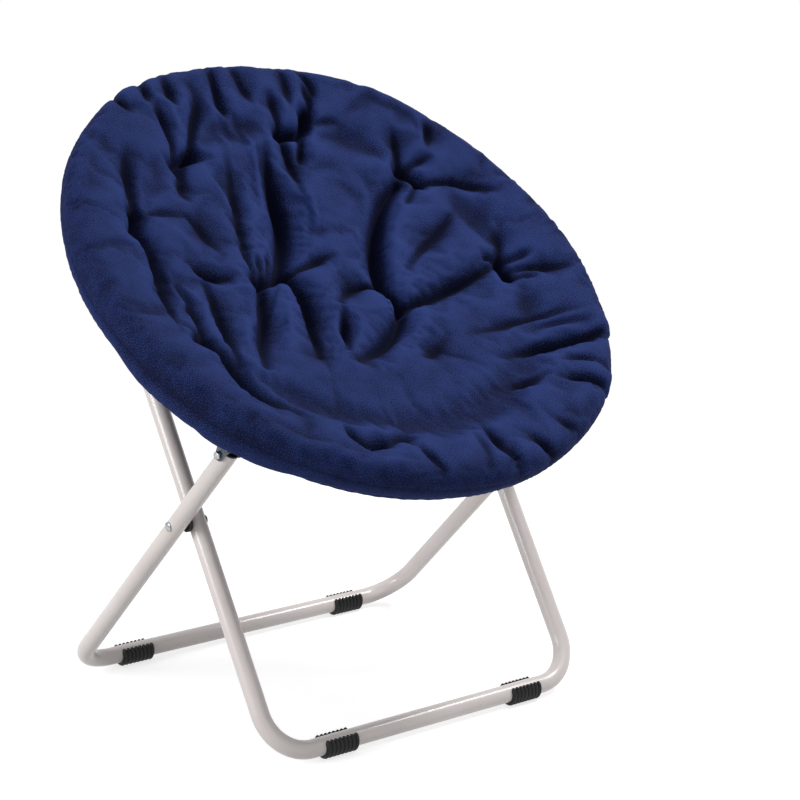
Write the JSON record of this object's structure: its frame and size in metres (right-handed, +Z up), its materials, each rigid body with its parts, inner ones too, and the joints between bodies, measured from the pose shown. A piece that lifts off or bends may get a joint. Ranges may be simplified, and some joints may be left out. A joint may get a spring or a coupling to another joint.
{
  "type": "folding saucer chair",
  "caption": "Folding lounge chair with a round tufted dish seat on a hinged tube ring, carried by two crossed U-shaped tube legs that scissor shut as the ring folds.",
  "frame": {"origin": "centre of the bounding box, on the floor", "axes": "+Z up, the sitter faces -Y, +X is the sitter's left"},
  "size_m": [0.798, 0.6503, 0.8545],
  "materials": {
    "painted_tube": "gloss powder coat, warm light grey",
    "zinc_steel": "zinc plated",
    "dark_steel": "dark pressed steel",
    "black_plastic": "moulded, matte",
    "seat_twill": "fine navy twill",
    "sling_lining": "plain navy backing cloth"
  },
  "bodies": {
    "outer_leg": {"outer_leg_tube": "painted_tube", "outer_leg_plug_left": "black_plastic", "outer_leg_plug_right": "black_plastic", "outer_foot_left": "black_plastic", "outer_foot_right": "black_plastic", "cross_rivet_left": "zinc_steel", "cross_rivet_right": "zinc_steel", "cross_spacer_left": "black_plastic", "cross_spacer_right": "black_plastic"},
    "ring_front": {"ring_front_tube": "painted_tube", "ring_sleeve_front": "seat_twill", "ring_hinge_front_left": "dark_steel", "ring_hinge_front_right": "dark_steel", "front_bracket_left": "dark_steel", "front_bracket_right": "dark_steel", "front_bolt_left": "zinc_steel", "front_bolt_right": "zinc_steel", "front_nut_left": "zinc_steel", "front_nut_right": "zinc_steel"},
    "ring_rear": {"ring_rear_tube": "painted_tube", "ring_sleeve_rear": "seat_twill", "seat_sling": "sling_lining", "seat_cushion": "seat_twill", "ring_hinge_rear_left": "dark_steel", "ring_hinge_rear_right": "dark_steel", "ring_hinge_pin_left": "zinc_steel", "ring_hinge_pin_right": "zinc_steel", "rear_bracket_left": "dark_steel", "rear_bracket_right": "dark_steel", "rear_bolt_left": "zinc_steel", "rear_bolt_right": "zinc_steel", "rear_nut_left": "zinc_steel", "rear_nut_right": "zinc_steel"},
    "inner_leg": {"inner_leg_tube": "painted_tube", "inner_leg_plug_left": "black_plastic", "inner_leg_plug_right": "black_plastic", "inner_foot_left": "black_plastic", "inner_foot_right": "black_plastic", "cross_rivet_tail_left": "zinc_steel", "cross_rivet_tail_right": "zinc_steel"}
  },
  "joints": [
    {"name": "ring_fold", "type": "hinge", "parent": "ring_front", "child": "ring_rear", "pos_m": [0, -0.10655, 0.49471], "axis": [1, 0, 0], "range_deg": [0, 150], "deforming": ["seat_cushion", "seat_sling"]},
    {"name": "front_pivot", "type": "hinge", "parent": "outer_leg", "child": "ring_front", "pos_m": [0, -0.15, 0.41621], "axis": [-1, 0, 0], "range_deg": [0, 88.54]},
    {"name": "rear_pivot", "type": "hinge", "parent": "ring_rear", "child": "inner_leg", "pos_m": [0, 0.24919, 0.71812], "axis": [-1, 0, 0], "range_deg": [0, 20.53]}
  ],
  "couplings": [
    {"joint": "front_pivot", "follows": "ring_fold", "ratio": 0.59024},
    {"joint": "rear_pivot", "follows": "ring_fold", "ratio": 0.13682}
  ]
}
